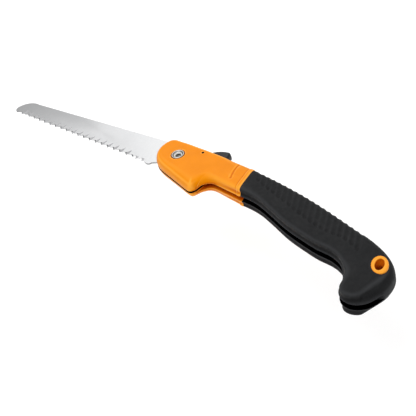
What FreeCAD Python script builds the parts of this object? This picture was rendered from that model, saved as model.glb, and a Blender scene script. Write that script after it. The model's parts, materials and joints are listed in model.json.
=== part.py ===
"""Folding pruning saw: orange half shells with soft black grips, a lockback lever and a swinging blade.

Millimetres. Every shape is drawn about the blade pivot, with +X along the handle, the teeth towards -Y,
the spine towards +Y and Z across the thickness from the middle plane. The finished shapes are then moved
so that the row's origin is the centre of the hang hole, which lies on +X from the pivot.
"""
import FreeCAD, Part
import math
import os

V = FreeCAD.Vector
UP = V(0, 0, 1)

# Driving dimensions
HANG_X = 208.0            # pivot axis to hang hole axis
HEAD_HALF = 7.5           # middle plane to the flat cheek of the head
GAP_HALF = 0.8            # half the gap between the two cheeks of the head
SLOT_HALF = 2.2           # half the blade slot in the handle
BLADE_HALF = 0.65         # half the thickness of the blade and of the lock lever
NOSE_CENTRE = V(-1.5, 1.0, 0)
NOSE_R = 20.5             # round nose of the head
HEAD_ROUNDING = 2.0       # rounded rim of the cheeks
FOLD_DEG = 166.3          # blade travel from open to folded
LOCK_DEG = 7.0            # lever travel from released to locked

TOOTH_PITCH = 7.6         # one pair of teeth and the gullet behind it
TOOTH_DEPTH = 3.4
SPINE_SLOPE = 0.218       # spine edge of the open blade, rise over run
TOOTH_SLOPE = 0.1444      # tooth edge of the open blade
SPINE_AT_PIVOT = 17.4     # height of the spine edge's line above the pivot
TOOTH_AT_PIVOT = -13.5    # height of the tooth edge's line above the pivot

TANG_R = 12.5
NOTCH_DEG = 68.0          # where the lever's tooth meets the tang, about the pivot
NOTCH_FLOOR_R = 11.3
NOTCH_HALF = 2.0
TOOTH_HALF = 1.6            # half the width of the lever's tooth
LEVER_PIN = V(15.8, 12.9, 0)
LEVER_PIN_R = 1.15
LEVER_HOLE_R = 1.2

SHANK_R = 3.0             # pivot bolt shank
BUSH_R = 4.5
BUSH_HALF = 2.0
HEAD_R = 5.3              # pivot bolt head and nut head
HEAD_SEAT = 6.6
HEAD_TOP = 7.9
WASHER_R = 9.5
WASHER_FACE = 0.7
WASHER_SEAT = 1.2
STOP_PIN = V(-10.8, 10.6, 0)
STOP_PIN_R = 1.5
STOP_PIN_HALF = 4.5

HANG_BORE_R = 3.0
HANG_TUBE_R = 4.6
HANG_RING_A = 8.0         # half length of the oval ring
HANG_RING_B = 5.6         # half width of the oval ring
HANG_RING_DEG = -47.7     # the oval ring's long axis follows the hooked pommel
HANG_RING_TOP = 10.6
HANG_RING_SEAT = 6.0      # the oval flange sits on this level in the grip

SCREWS = [V(53, 17.3, 0), V(112, 18.0, 0), V(170, 13.2, 0)]
SCREW_HEAD_R = 2.6
SCREW_SHANK_R = 1.4
SCREW_SEAT = 6.4

# Stations along the handle: belly point, spine point and half thickness, from the neck round to the hook.
STATIONS = [
    ((46, -4.9), (44, 20.6), 7.3),
    ((56, -3.6), (54, 21.6), 8.3),
    ((67, -2.9), (63, 22.3), 9.2),
    ((79, -1.6), (75, 22.9), 9.8),
    ((92, -1.1), (90, 23.2), 10.2),
    ((105, -2.6), (105, 23.2), 10.4),
    ((119, -5.2), (121, 22.8), 10.4),
    ((135, -7.4), (138, 21.7), 10.4),
    ((152, -8.7), (156, 20.0), 10.3),
    ((167, -8.3), (174, 18.1), 10.2),
    ((179, -8.8), (191, 16.0), 10.2),
    ((187.4, -12.7), (205.2, 12.0), 10.3),
    ((192.8, -18.6), (215.4, 5.3), 10.2),
    ((196.3, -24.6), (221.0, -3.0), 9.8),
    ((199.8, -29.3), (222.6, -12.0), 8.9),
    ((205, -31.8), (221.4, -20.2), 7.2),
    ((210, -32.1), (218.2, -27.2), 5.0),
]
SECTION_POWER = 2.7       # 2 is an ellipse, higher is boxier
SECTION_STEPS = 8         # points on each half of a section


def turned(shape, degrees, centre=V(0, 0, 0)):
    result = shape.copy()
    result.rotate(centre, UP, degrees)
    return result


def polar(radius, degrees, centre=V(0, 0, 0)):
    angle = math.radians(degrees)
    return centre + V(radius * math.cos(angle), radius * math.sin(angle), 0)


def cylinder(radius, z_low, z_high, centre=V(0, 0, 0)):
    return Part.makeCylinder(radius, z_high - z_low, V(centre.x, centre.y, z_low), UP)


def box(x_low, x_high, y_low, y_high, z_low, z_high):
    return Part.makeBox(x_high - x_low, y_high - y_low, z_high - z_low, V(x_low, y_low, z_low))


def polygon_plate(points, z_low, z_high):
    corners = [V(x, y, z_low) for x, y in points]
    face = Part.Face(Part.makePolygon(corners + corners[:1]))
    return face.extrude(V(0, 0, z_high - z_low))


def ellipse_wire(half_length, half_width, degrees, z):
    ellipse = Part.Ellipse(V(0, 0, 0), half_length, half_width)
    wire = Part.Wire(ellipse.toShape())
    wire.rotate(V(0, 0, 0), UP, degrees)
    wire.translate(V(HANG_X, 0, z))
    return wire


def spline_edge(points):
    curve = Part.BSplineCurve()
    curve.interpolate([V(x, y, 0) for x, y in points])
    return curve.toShape()


def upper(shape):
    return shape.common(box(-260, 260, -120, 120, 0, 40))


def lower(shape):
    return shape.common(box(-260, 260, -120, 120, -40, 0))


def mirrored(shape):
    return shape.mirror(V(0, 0, 0), UP)


def section_side(belly, spine, half_thickness, side):
    """Half of a rounded section, from the belly point over to the spine point; side is 1 above, -1 below."""
    points = []
    for i in range(2 * SECTION_STEPS + 1):
        angle = math.pi * i / (2 * SECTION_STEPS)
        c = math.cos(angle)
        s = max(math.sin(angle), 0.0) if 0 < i < 2 * SECTION_STEPS else 0.0
        along = 0.5 - 0.5 * math.copysign(abs(c) ** (2 / SECTION_POWER), c)
        rise = side * half_thickness * s ** (2 / SECTION_POWER)
        points.append(belly + (spine - belly) * along + UP * rise)
    return points


def section_wire(belly, spine, half_thickness):
    """A closed rounded section standing on the line from the belly point to the spine point."""
    above = Part.BSplineCurve()
    above.interpolate(section_side(belly, spine, half_thickness, 1))
    below = Part.BSplineCurve()
    below.interpolate(section_side(belly, spine, half_thickness, -1)[::-1])
    return Part.Wire([above.toShape(), below.toShape()])


def handle_body(first, last, belly_inset, spine_inset, thickness_inset):
    """The handle lofted through its stations, optionally shrunk inwards."""
    wires = []
    for belly, spine, half_thickness in STATIONS[first:last]:
        start = V(belly[0], belly[1], 0)
        chord = V(spine[0], spine[1], 0) - start
        unit = V(chord)
        unit.normalize()
        inner_belly = start + unit * belly_inset
        inner_spine = start + chord - unit * spine_inset
        wires.append(section_wire(inner_belly, inner_spine, half_thickness - thickness_inset))
    return Part.makeLoft(wires, True, False)


def head_outline():
    """Round nose, straight lower edge, pointed bump and the hollow that runs into the neck."""
    spine_start = V(-9.0, 14.9, 0)
    nose_top = polar(NOSE_R, 148, NOSE_CENTRE)
    nose_low = polar(NOSE_R, 236, NOSE_CENTRE)
    spine = spline_edge([(-9.0, 14.9), (8, 17.0), (27, 19.4), (49, 21.3)])
    shoulder = Part.Arc(nose_top, V(-15.0, 13.4, 0), spine_start).toShape()
    nose = Part.Arc(nose_top, polar(NOSE_R, 190, NOSE_CENTRE), nose_low).toShape()
    bump_start = V(34.0, -20.3, 0)
    bump_end = V(38.6, -17.6, 0)
    lower_edge = Part.LineSegment(nose_low, bump_start).toShape()
    bump = Part.Arc(bump_start, V(37.3, -19.7, 0), bump_end).toShape()
    hollow = spline_edge([(38.6, -17.6), (40.4, -11.2), (43.6, -6.2), (50.0, -4.1)])
    neck_cut = Part.LineSegment(V(50.0, -4.1, 0), V(49, 21.3, 0)).toShape()
    edges = [spine, shoulder, nose, lower_edge, bump, hollow, neck_cut]
    return Part.Wire(Part.__sortEdges__(edges))


def head_body():
    plate = Part.Face(head_outline()).extrude(V(0, 0, 2 * HEAD_HALF))
    plate.translate(V(0, 0, -HEAD_HALF))
    rim = []
    for edge in plate.Edges:
        flat = edge.BoundBox.ZLength < 0.01
        at_neck = edge.BoundBox.XMin > 48.5
        if flat and not at_neck:
            rim.append(edge)
    return plate.makeFillet(HEAD_ROUNDING, rim)


def neck_boundary(z_half):
    """Everything on the grip's side of the slanted line where orange meets black."""
    plan = [(66.5, 26), (76.9, -6), (90, -60), (260, -60), (260, 40), (64, 40)]
    return polygon_plate(plan, -z_half, z_half)


def slot_plan():
    """The blade slot's plan, from the bump to the round back of the hook."""
    return [(40, -40), (40, 10), (60, 11.5), (110, 9.0), (170, 4.0), (196, 1.0), (203.5, -5.5), (207, -13),
            (215, -18), (240, -26), (240, -60), (120, -40)]


def whole_case():
    return head_body().fuse(handle_body(0, len(STATIONS), 0, 0, 0)).removeSplitter()


def grip_core():
    """The orange moulding continues under the soft grip as a core."""
    return handle_body(2, len(STATIONS) - 3, 7.0, 2.2, 2.2)


def pivot_cuts():
    """Near half's bores about the pivot: shank, bush, washer pocket and bolt head seat."""
    shank = cylinder(SHANK_R + 0.1, 0, 12)
    bush = cylinder(BUSH_R, 0, BUSH_HALF)
    washer = cylinder(WASHER_R + 0.2, 0, WASHER_SEAT)
    head = cylinder(HEAD_R + 0.4, HEAD_SEAT, 12)
    return [shank, bush, washer, head]


def common_cuts():
    """Cuts that both halves share, given for both sides of the middle plane."""
    gap = box(-60, 41, -60, 60, -GAP_HALF, GAP_HALF)
    slot = polygon_plate(slot_plan(), -SLOT_HALF, SLOT_HALF)
    button = polygon_plate([(11.2, 15.4), (22, 13.9), (41, 15.4), (41, 40), (11.2, 40)], -3.8, 3.8)
    lever_pin = cylinder(LEVER_PIN_R, -12, 12, LEVER_PIN)
    stop = cylinder(STOP_PIN_R, -STOP_PIN_HALF, STOP_PIN_HALF, STOP_PIN)
    tube = cylinder(HANG_TUBE_R, -12, 12, V(HANG_X, 0, 0))
    ring_face = Part.Face(ellipse_wire(HANG_RING_A, HANG_RING_B, HANG_RING_DEG, HANG_RING_SEAT))
    ring_near = ring_face.extrude(V(0, 0, 8))
    return [gap, slot, button, lever_pin, stop, tube, ring_near, mirrored(ring_near)]


def near_shell(case, core, black_side):
    body = upper(case.cut(black_side)).fuse(upper(core)).removeSplitter()
    pilots = [cylinder(SCREW_SHANK_R, 0, 5.2, at) for at in SCREWS]
    return body.cut(common_cuts() + pivot_cuts() + pilots)


def spring_pocket():
    """Room for the torsion spring beside the lever in the far half."""
    coil = cylinder(3.3, -4.4, 0, LEVER_PIN)
    leg_room = polygon_plate([(13.4, 8.5), (18.9, 8.5), (18.9, 12.9), (13.4, 12.9)], -4.4, 0)
    arm_room = polygon_plate([(15.8, 11.4), (30, 13.6), (30, 19), (15.8, 16.2)], -2.2, 0)
    return [coil, leg_room, arm_room]


def far_shell(case, core, black_side):
    body = lower(case.cut(black_side)).fuse(lower(core)).removeSplitter()
    pivot = [mirrored(cut) for cut in pivot_cuts()] + [cylinder(BUSH_R, -12, 0)]
    shanks = [cylinder(SCREW_SHANK_R + 0.2, -12, 0, at) for at in SCREWS]
    heads = [cylinder(SCREW_HEAD_R + 0.3, -14, -SCREW_SEAT, at) for at in SCREWS]
    return body.cut(common_cuts() + pivot + shanks + heads + spring_pocket())


def whole_grip(case, core, black_side):
    return case.common(black_side).cut(core)


def near_grip(grip):
    return upper(grip).cut(common_cuts())


def far_grip(grip):
    heads = [cylinder(SCREW_HEAD_R + 0.3, -14, 0, at) for at in SCREWS[1:]]
    return lower(grip).cut(common_cuts() + heads)


def spine_y(x):
    return SPINE_AT_PIVOT + SPINE_SLOPE * x


def tooth_y(x):
    return TOOTH_AT_PIVOT + TOOTH_SLOPE * x


def tooth_points():
    """Pairs of teeth with a deep gullet after each pair, from the heel out to the tip."""
    points = []
    x = -26.0
    fine = TOOTH_PITCH / 2
    for _ in range(4):
        points.append((x, tooth_y(x)))
        points.append((x - fine * 0.35, tooth_y(x) + 1.6))
        x -= fine * 0.9
    while x > -182:
        y = tooth_y(x)
        points += [(x, y), (x - 0.26 * TOOTH_PITCH, y + 0.5 * TOOTH_DEPTH)]
        points += [(x - 0.48 * TOOTH_PITCH, tooth_y(x - 0.48 * TOOTH_PITCH))]
        points += [(x - 0.74 * TOOTH_PITCH, y + TOOTH_DEPTH)]
        x -= TOOTH_PITCH
    for _ in range(2):
        points.append((x, tooth_y(x)))
        points.append((x - fine * 0.5, tooth_y(x) + 1.4))
        x -= fine
    return points


def tang_notch(degrees):
    """A slot in the tang's rim for the lever's tooth."""
    slot = box(NOTCH_FLOOR_R, TANG_R + 2, -NOTCH_HALF, NOTCH_HALF, -2, 2)
    return turned(slot, degrees)


def blade():
    """Tapered blade with a rounded tip, teeth, a choil at the heel and a round tang with two lock notches."""
    shoulder = polar(TANG_R - 0.5, 142)
    corner = polar(22.1, 142)
    outline = [(shoulder.x, shoulder.y), (corner.x, spine_y(corner.x)), (-184.0, spine_y(-184.0))]
    tip_top = V(-184.0, spine_y(-184.0), 0)
    tip_front = V(-198.6, -36.5, 0)
    tip_low = V(-193.5, -41.6, 0)
    edges = [Part.LineSegment(V(*outline[0], 0), V(*outline[1], 0)).toShape()]
    edges.append(Part.LineSegment(V(*outline[1], 0), tip_top).toShape())
    edges.append(Part.Arc(tip_top, V(-195.2, -28.0, 0), tip_front).toShape())
    edges.append(Part.Arc(tip_front, V(-197.6, -40.4, 0), tip_low).toShape())
    run = [(tip_low.x, tip_low.y)] + tooth_points()[::-1] + [(-22.4, tooth_y(-22.4) - 1.1)]
    corners = [V(x, y, 0) for x, y in run]
    for a, b in zip(corners, corners[1:]):
        edges.append(Part.LineSegment(a, b).toShape())
    heel = corners[-1]
    heel_top = V(-18.6, -14.6, 0)
    tang_start = polar(TANG_R - 0.5, 219)
    edges.append(Part.Arc(heel, V(-19.8, -17.2, 0), heel_top).toShape())
    edges.append(Part.LineSegment(heel_top, tang_start).toShape())
    edges.append(Part.LineSegment(tang_start, V(*outline[0], 0)).toShape())
    body = Part.Face(Part.Wire(edges)).extrude(V(0, 0, 2 * BLADE_HALF))
    body.translate(V(0, 0, -BLADE_HALF))
    tang = cylinder(TANG_R, -BLADE_HALF, BLADE_HALF)
    hole = cylinder(BUSH_R + 0.05, -2, 2)
    notches = [tang_notch(NOTCH_DEG), tang_notch(NOTCH_DEG - FOLD_DEG)]
    return body.fuse(tang).removeSplitter().cut([hole] + notches)


def pivot_bolt():
    """Button head with a dished face and a hexagonal socket."""
    shank = cylinder(SHANK_R, -6.0, HEAD_SEAT)
    head = cylinder(HEAD_R, HEAD_SEAT, HEAD_TOP)
    bolt = shank.fuse(head)
    rim = [e for e in bolt.Edges if abs(e.BoundBox.ZMin - HEAD_TOP) < 0.01 and e.BoundBox.XMax > HEAD_R - 0.1]
    bolt = bolt.makeFillet(0.5, rim)
    dish = Part.makeCone(3.0, 4.1, 0.4, V(0, 0, HEAD_TOP - 0.4), UP)
    hexagon = [(2.0 * math.cos(math.radians(60 * i)), 2.0 * math.sin(math.radians(60 * i))) for i in range(6)]
    return bolt.cut([dish, polygon_plate(hexagon, HEAD_TOP - 2.2, 12)])


def pivot_nut():
    """Sleeve nut: round head outside, threaded barrel inside the far cheek."""
    head = cylinder(HEAD_R, -HEAD_TOP, -HEAD_SEAT)
    barrel = cylinder(BUSH_R - 0.05, -HEAD_SEAT, -BUSH_HALF - 0.1)
    slot = box(-3.6, 3.6, -0.6, 0.6, -HEAD_TOP, -HEAD_TOP + 0.7)
    return head.fuse(barrel).cut([cylinder(SHANK_R, -6.2, 0), slot])


def pivot_bush():
    return cylinder(BUSH_R, -BUSH_HALF, BUSH_HALF).cut(cylinder(SHANK_R + 0.03, -5, 5))


def near_washer():
    return cylinder(WASHER_R, WASHER_FACE, WASHER_SEAT).cut(cylinder(BUSH_R + 0.2, 0, 3))


def stop_pin():
    return cylinder(STOP_PIN_R, -STOP_PIN_HALF, STOP_PIN_HALF, STOP_PIN)


def lever_tooth():
    """The tooth in its locked place, a running fit in the notch."""
    tooth = box(NOTCH_FLOOR_R + 0.15, 15.2, -TOOTH_HALF, TOOTH_HALF, -BLADE_HALF, BLADE_HALF)
    return turned(tooth, NOTCH_DEG)


def lock_lever():
    """Flat lever, drawn with its tooth lifted just clear of the tang."""
    arm = polygon_plate([(3.4, 14.3), (3.8, 15.6), (10, 16.3), (16, 17.4), (24, 18.6), (31.6, 20.0), (32.4, 17.0),
                         (24, 15.6), (18.6, 10.7), (13.6, 10.4), (9.5, 12.9)], -BLADE_HALF, BLADE_HALF)
    boss = cylinder(3.6, -BLADE_HALF, BLADE_HALF, LEVER_PIN)
    tooth = turned(lever_tooth(), -LOCK_DEG, LEVER_PIN)
    return arm.fuse([boss, tooth]).removeSplitter().cut(cylinder(LEVER_HOLE_R, -3, 3, LEVER_PIN))


def lock_button(lever):
    """Thumb wedge moulded over the lever's tail, rising to a steep rear face."""
    side = [(19.6, 16.4), (18.0, 20.4), (21.0, 23.6), (26.0, 26.6), (30.4, 28.1), (31.4, 27.7), (34.9, 21.2),
            (34.9, 16.6), (24.6, 14.9)]
    block = polygon_plate(side, -3.5, 3.5)
    return block.cut(lever)


def lock_pin():
    return cylinder(LEVER_PIN_R, -HEAD_HALF + 0.3, HEAD_HALF - 0.3, LEVER_PIN)


def lock_spring():
    """Torsion spring round the lever pin: one leg under the lever's tail, one against the far shell."""
    wire_r = 0.35
    coil_r = 2.3
    pitch = 0.8
    turns = 3
    top = -1.25
    helix = Part.makeHelix(pitch, pitch * turns, coil_r)
    profile = Part.Wire(Part.Circle(V(coil_r, 0, 0), V(0, 1, 0), wire_r).toShape())
    coil = Part.Wire(helix).makePipeShell([profile], True, True)
    coil.translate(LEVER_PIN + V(0, 0, top - pitch * turns))
    upper_leg = Part.makeCylinder(wire_r, 8.0, LEVER_PIN + V(coil_r, -0.2, top), V(1, 0.235, 0))
    lower_foot = LEVER_PIN + V(coil_r, 0.2, top - pitch * turns)
    lower_leg = Part.makeCylinder(wire_r, 3.4, lower_foot, V(-0.25, -1, 0))
    return coil.fuse([upper_leg, lower_leg])


def near_hang_ring():
    """Half of the hang hole's lining: an oval flange outside, a round tube inside and a flared mouth."""
    plan = Part.Face(ellipse_wire(HANG_RING_A, HANG_RING_B, HANG_RING_DEG, HANG_RING_SEAT))
    flange = plan.extrude(V(0, 0, HANG_RING_TOP - HANG_RING_SEAT))
    rim = [edge for edge in flange.Edges if edge.BoundBox.ZMin > HANG_RING_TOP - 0.01]
    flange = flange.makeFillet(0.6, rim)
    tube = cylinder(HANG_TUBE_R, 0, 6.5, V(HANG_X, 0, 0))
    bore = cylinder(HANG_BORE_R, -1, 12, V(HANG_X, 0, 0))
    mouth = ellipse_wire(5.6, 3.6, HANG_RING_DEG, HANG_RING_TOP + 0.2)
    throat = ellipse_wire(2.6, 2.5, HANG_RING_DEG, 6.2)
    flare = Part.makeLoft([throat, mouth], True, True)
    return flange.fuse(tube).removeSplitter().cut([bore, flare])


def case_screw(at):
    """Pan head screw with a cross slot, driven from the far side into the near half."""
    head = cylinder(SCREW_HEAD_R, -SCREW_SEAT - 1.5, -SCREW_SEAT, at)
    shank = cylinder(SCREW_SHANK_R, -SCREW_SEAT, 5.0, at)
    low = -SCREW_SEAT - 2
    slots = [box(at.x - 1.5, at.x + 1.5, at.y - 0.3, at.y + 0.3, low, low + 1.3),
             box(at.x - 0.3, at.x + 0.3, at.y - 1.5, at.y + 1.5, low, low + 1.3)]
    return head.fuse(shank).cut(slots)


def save(name, shapes):
    solids = []
    for shape in shapes:
        moved = shape.copy()
        moved.translate(V(-HANG_X, 0, 0))
        solids += moved.Solids
    result = solids[0] if len(solids) == 1 else Part.makeCompound(solids)
    print(name, len(solids), "valid" if result.isValid() else "INVALID", round(result.Volume, 1))
    result.exportStep("parts/%s.step" % name)


def main():
    os.makedirs("parts", exist_ok=True)
    case = whole_case()
    core = grip_core()
    black_side = neck_boundary(40)
    grip = whole_grip(case, core, black_side)
    lever = lock_lever()
    save("near_shell", [near_shell(case, core, black_side)])
    save("far_shell", [far_shell(case, core, black_side)])
    save("near_grip", [near_grip(grip)])
    save("far_grip", [far_grip(grip)])
    save("blade", [blade()])
    save("pivot_bolt", [pivot_bolt()])
    save("pivot_nut", [pivot_nut()])
    save("pivot_bush", [pivot_bush()])
    save("near_washer", [near_washer()])
    save("far_washer", [mirrored(near_washer())])
    save("stop_pin", [stop_pin()])
    save("lock_lever", [lever])
    save("lock_button", [lock_button(lever)])
    save("lock_pin", [lock_pin()])
    save("lock_spring", [lock_spring()])
    save("near_hang_ring", [near_hang_ring()])
    save("far_hang_ring", [mirrored(near_hang_ring())])
    save("case_screws", [case_screw(at) for at in SCREWS])


main()
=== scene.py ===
"""Looks of the folding pruning saw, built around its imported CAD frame.

Outlines are in millimetres about the blade pivot: +X along the handle, teeth towards -Y, spine towards +Y
and Z out of the near face. `to_frame` turns them into metres in the row's frame.
"""
import json
import math
from functools import cache

import bmesh
import bpy
import numpy as np
from mathutils import Matrix, Vector

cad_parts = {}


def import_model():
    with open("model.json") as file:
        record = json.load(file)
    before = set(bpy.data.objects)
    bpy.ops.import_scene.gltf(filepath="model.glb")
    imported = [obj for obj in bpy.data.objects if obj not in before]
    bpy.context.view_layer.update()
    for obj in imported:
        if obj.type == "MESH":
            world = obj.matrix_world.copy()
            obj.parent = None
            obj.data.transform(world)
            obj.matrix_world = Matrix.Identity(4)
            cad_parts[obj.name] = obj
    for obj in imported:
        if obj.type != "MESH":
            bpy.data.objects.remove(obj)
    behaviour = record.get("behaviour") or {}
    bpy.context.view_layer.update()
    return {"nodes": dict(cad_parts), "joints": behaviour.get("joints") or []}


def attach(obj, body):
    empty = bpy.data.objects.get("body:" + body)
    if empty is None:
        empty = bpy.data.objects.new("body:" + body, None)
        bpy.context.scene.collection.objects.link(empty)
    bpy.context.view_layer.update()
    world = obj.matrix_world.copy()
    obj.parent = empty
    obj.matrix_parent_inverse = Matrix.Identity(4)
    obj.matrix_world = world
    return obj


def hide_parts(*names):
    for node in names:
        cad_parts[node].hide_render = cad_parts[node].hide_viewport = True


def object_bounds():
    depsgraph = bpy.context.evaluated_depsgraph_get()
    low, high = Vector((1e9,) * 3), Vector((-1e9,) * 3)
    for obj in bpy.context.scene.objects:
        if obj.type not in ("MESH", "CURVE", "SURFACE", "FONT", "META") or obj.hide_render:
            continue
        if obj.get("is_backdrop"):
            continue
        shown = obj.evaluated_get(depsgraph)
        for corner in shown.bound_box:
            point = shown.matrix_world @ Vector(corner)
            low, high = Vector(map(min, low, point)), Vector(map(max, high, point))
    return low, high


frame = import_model()
joints = {joint["name"]: joint for joint in frame["joints"]}

MM = 0.001
PIVOT = np.array(joints["blade_fold"]["pos_m"])
LEVER_PIN = (np.array(joints["lock_press"]["pos_m"]) - PIVOT) / MM
HANG = -PIVOT / MM

# Camera and stage
CAMERA_AT = (507.6, -278.2, 404.3)
CAMERA_TARGET = (62.8, -23.3, 0.0)
CAMERA_ROLL_DEG = -16.0
CAMERA_LENS = 77.9
FLOOR_DROP = 70.0

# The case: what holds along its whole length
HEAD_GAP = 0.8             # half the gap between the cheeks of the head
SLOT = 2.2                 # half the blade slot in the handle
SKIN = 2.2                 # thickness of the soft grip over the orange core
CORE_FROM_BELLY = 7.0      # the core stops this far inside the slot's lips
HEAD_LIP = 0.28            # rounding of the head's lips
SLOT_LIP = 0.5             # rounding of the slot's lips
SEAM_LIP = 0.22            # rounding of the seam along the spine
ROWS = 26                  # grid rows from either rim to the middle
ROW_CROWDING = 1.8         # above 1 the rows crowd towards the rims
COLUMN_STEP = 0.62
EVEN_OUT = 12              # columns on either side that a thickness is averaged over
STEP_WALL = 0.02           # the gap's step down to the slot takes this much of the case's length
SEAM_CLEARANCE = 0.06      # between the orange and the black where they meet
ABOVE_CASE = 14.0          # cutters end here, clear of either face

# Places along the case, counted in stations
GAP_END = 12               # the narrow gap widens into the slot
BOUNDARY = 19              # orange meets black
CORE_END = 33              # the orange core ends inside the grip
OPEN_HOOK = 34.6           # the slot runs round the hook as well from here on
THROAT_STARTS = (29.4, 31.4)
THROAT_ENDS = (32.8, 34.8)
HOOK_SPINE_SIDE = (30.5, 33.5)
HOOK_BOTH_SIDES = (34.6, 37.6)
CREASE_TURNS = (31.5, 33.5)
VALLEY_TURNS = (34.0, 35.5)

# Stations from the nose to the hook: belly x and y, spine x and y, half thickness, width of the rounding
STATIONS = [
    (-22.4, 1.5, -22.4, 1.5, 7.5, 3.2),
    (-20.9, -4.2, -22.4, 5.6, 7.5, 3.2),
    (-18.6, -8.2, -21.3, 9.8, 7.5, 3.2),
    (-15.2, -11.5, -18, 12.7, 7.5, 3.2),
    (-10.2, -14.3, -12.5, 13.9, 7.5, 3.2),
    (-2.4, -16.3, -5, 15.3, 7.5, 3.2),
    (8, -17.5, 5, 16.7, 7.5, 3.2),
    (18, -18.6, 15, 18.1, 7.5, 3.2),
    (28, -19.7, 25, 19.2, 7.5, 3.2),
    (33.6, -20.25, 31, 19.85, 7.5, 3.2),
    (36.6, -20, 33.5, 20.1, 7.5, 3.2),
    (38.4, -18.5, 35, 20.3, 7.5, 3.3),
    (39.5, -15.3, 36.5, 20.45, 7.5, 3.4),
    (41.3, -9.6, 38, 20.6, 7.5, 3.8),
    (44.1, -5.8, 40.5, 20.8, 7.6, 4.6),
    (49.5, -4.1, 43, 21, 7.8, 5.6),
    (56.5, -3.6, 46.5, 21.2, 8.1, 7),
    (64.8, -3.1, 51.5, 21.6, 8.5, 8.5),
    (70.5, -2.7, 59, 22.1, 8.9, 9.6),
    (75.6, -2.1, 66.5, 22.6, 9.3, 10.4),
    (83.5, -1.2, 75, 23, 9.7, 10.8),
    (94, -1.2, 84.5, 23.2, 10, 11),
    (104, -2.6, 95, 23.3, 10.2, 11.2),
    (115, -4.6, 106.5, 23.2, 10.35, 11.2),
    (126, -6.7, 118.5, 22.9, 10.4, 11.2),
    (138, -8, 131.5, 22.2, 10.4, 11.2),
    (150, -8.7, 145, 21.1, 10.4, 11.2),
    (161, -8.8, 159, 19.7, 10.35, 11.2),
    (170.5, -8, 173, 18.2, 10.3, 11.2),
    (178.6, -8.8, 187, 16.6, 10.3, 11.2),
    (185.4, -11.6, 199.5, 13.8, 10.3, 11.2),
    (190.1, -15.6, 209.2, 9.9, 10.3, 11.2),
    (193.7, -20, 216.6, 3.9, 10.3, 11.2),
    (196.3, -25.5, 220, -2.9, 10.2, 11.2),
    (199.7, -29.4, 221.2, -8.4, 10.1, 11),
    (203.9, -31.5, 221.1, -13.8, 10, 10.8),
    (208.2, -31.8, 220.1, -20.2, 9.9, 10.6),
    (211.7, -30.9, 217.9, -25.6, 9.8, 10.4),
    (214.7, -29.1, 214.7, -29.1, 9.8, 10.4),
]

# How the outside rolls over towards the rims
CHEEK_ROUND = 9.0          # the cheeks of the head roll over more slowly towards the teeth
CHEEK_POWER = 2.5          # superellipse power of a rounding: 2 is an ellipse, higher is boxier
HEAD_POWER = 2.6
BELLY_POWER = 4.5
SPINE_POWER = 3.3
HOOK_ROUND = 12.0
HOOK_POWER = 2.1
THROAT_WIDER = 2.5         # the inside of the bend above the hook
THROAT_POWER = 3.0

# The blade slot's ceiling inside the handle
CEILING = [(36, 9.5), (60, 11.5), (110, 9.0), (170, 4.0), (196, 1.0), (203.5, -5.5), (207, -13),
           (215, -18), (240, -26)]
CEILING_STEP = 0.002       # share of a chord between the two sides of the ceiling

# Side of the grip: a shallow valley above the slot's lip, then a soft ridge where the side turns over
VALLEY_DEPTH = 1.0
VALLEY_HEIGHT = 5.0
VALLEY_WIDTH = 1.9
CREASE_HEIGHT = 0.45
CREASE_WIDTH = 0.9
CREASE_Z = 8.4
CHEEK_CREASE_IN = 2.4      # on the head the ridge runs this far inside the outline

# Ribs across the spine of the grip
RIB_PITCH = 5.76
FIRST_GROOVE = 72.7        # where the first groove crosses the spine
GROOVES = 19
GROOVE_SLOPE = 0.72        # the grooves lean towards the head as they climb to the spine
GROOVE_DEPTH = 0.55
GROOVE_END = [(70, 13.4), (80, 12.0), (91, 9.6), (104, 7.6), (116, 6.2), (130, 3.6), (147, 1.5),
              (160, 1.5), (170, 3.3), (178, 3.3), (187, 1.0), (195, -2.0), (215, -4.0)]

# Marks in the orange neck
NECK_LINE = [(52.6, 18.2), (54.4, 12.6), (56.8, 7.9), (59.4, 4.0)]
NECK_LINE_DEPTH = 0.5
NECK_LINE_WIDTH = 0.9
COLLAR_WIDTH = 3.6         # raised collar of orange beside the black
COLLAR_HEIGHT = 0.42

# Pivot, pins, screws and hang hole
HEAD_SEAT = 6.6
BOLT_HEAD_R = 5.3
BOLT_POCKET_R = 5.7
SHANK_R = 3.1
BUSH_R = 4.5
BUSH_TOP = 2.0
WASHER_POCKET_R = 9.7
WASHER_POCKET_TOP = 1.2
PIN_R = 1.15
SCREW_POCKET_R = 2.9
SCREW_SEAT = 6.4
HANG_TUBE_R = 4.6
RING_A = 8.0
RING_B = 5.6
RING_DEG = -47.7
RING_SEAT = 6.0
RING_CREST = 10.55
MOUTH_DEG = -57.5
MOUTH_A = 5.06
MOUTH_B = 3.02
FLARE_DEPTH = 6.0
RIM_ROUND = 1.0
MOUTH_ROUND = 0.5
FIT = 0.03                 # the rings sit this far inside their recess
BORE_R = 3.0

# Blade
BLADE_HALF = 0.65
SPINE_SLOPE = 0.218
SPINE_AT_PIVOT = 17.4
TOOTH_SLOPE = 0.1444
TOOTH_AT_PIVOT = -13.5
TOOTH_PITCH = 7.6
TOOTH_DEPTH = 3.4
GRIND = 1.3                # width of a tooth's ground facet
EDGE_BREAK = 0.09          # broken edges all round the blade
TANG_R = 12.5
NOTCH_DEG = 68.0
NOTCH_FLOOR_R = 11.3
NOTCH_HALF = 2.0
TANG_ENDS_DEG = (142, -141)
HEEL_X = -22.4
HEEL_TEETH_X = -26.0       # fine single teeth from here at the heel
TIP_TEETH_X = -182.0       # and beyond here at the tip, with pairs between


# ------------------------ geometry helpers

def to_frame(points):
    """Millimetres about the pivot to metres in the row's frame."""
    return np.asarray(points, float) * MM + PIVOT


def smooth(low, high, value):
    t = np.clip((np.asarray(value, float) - low) / (high - low), 0, 1)
    return t * t * (3 - 2 * t)


def bell(distance, width):
    return np.exp(-(np.asarray(distance, float) / width) ** 2)


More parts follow.
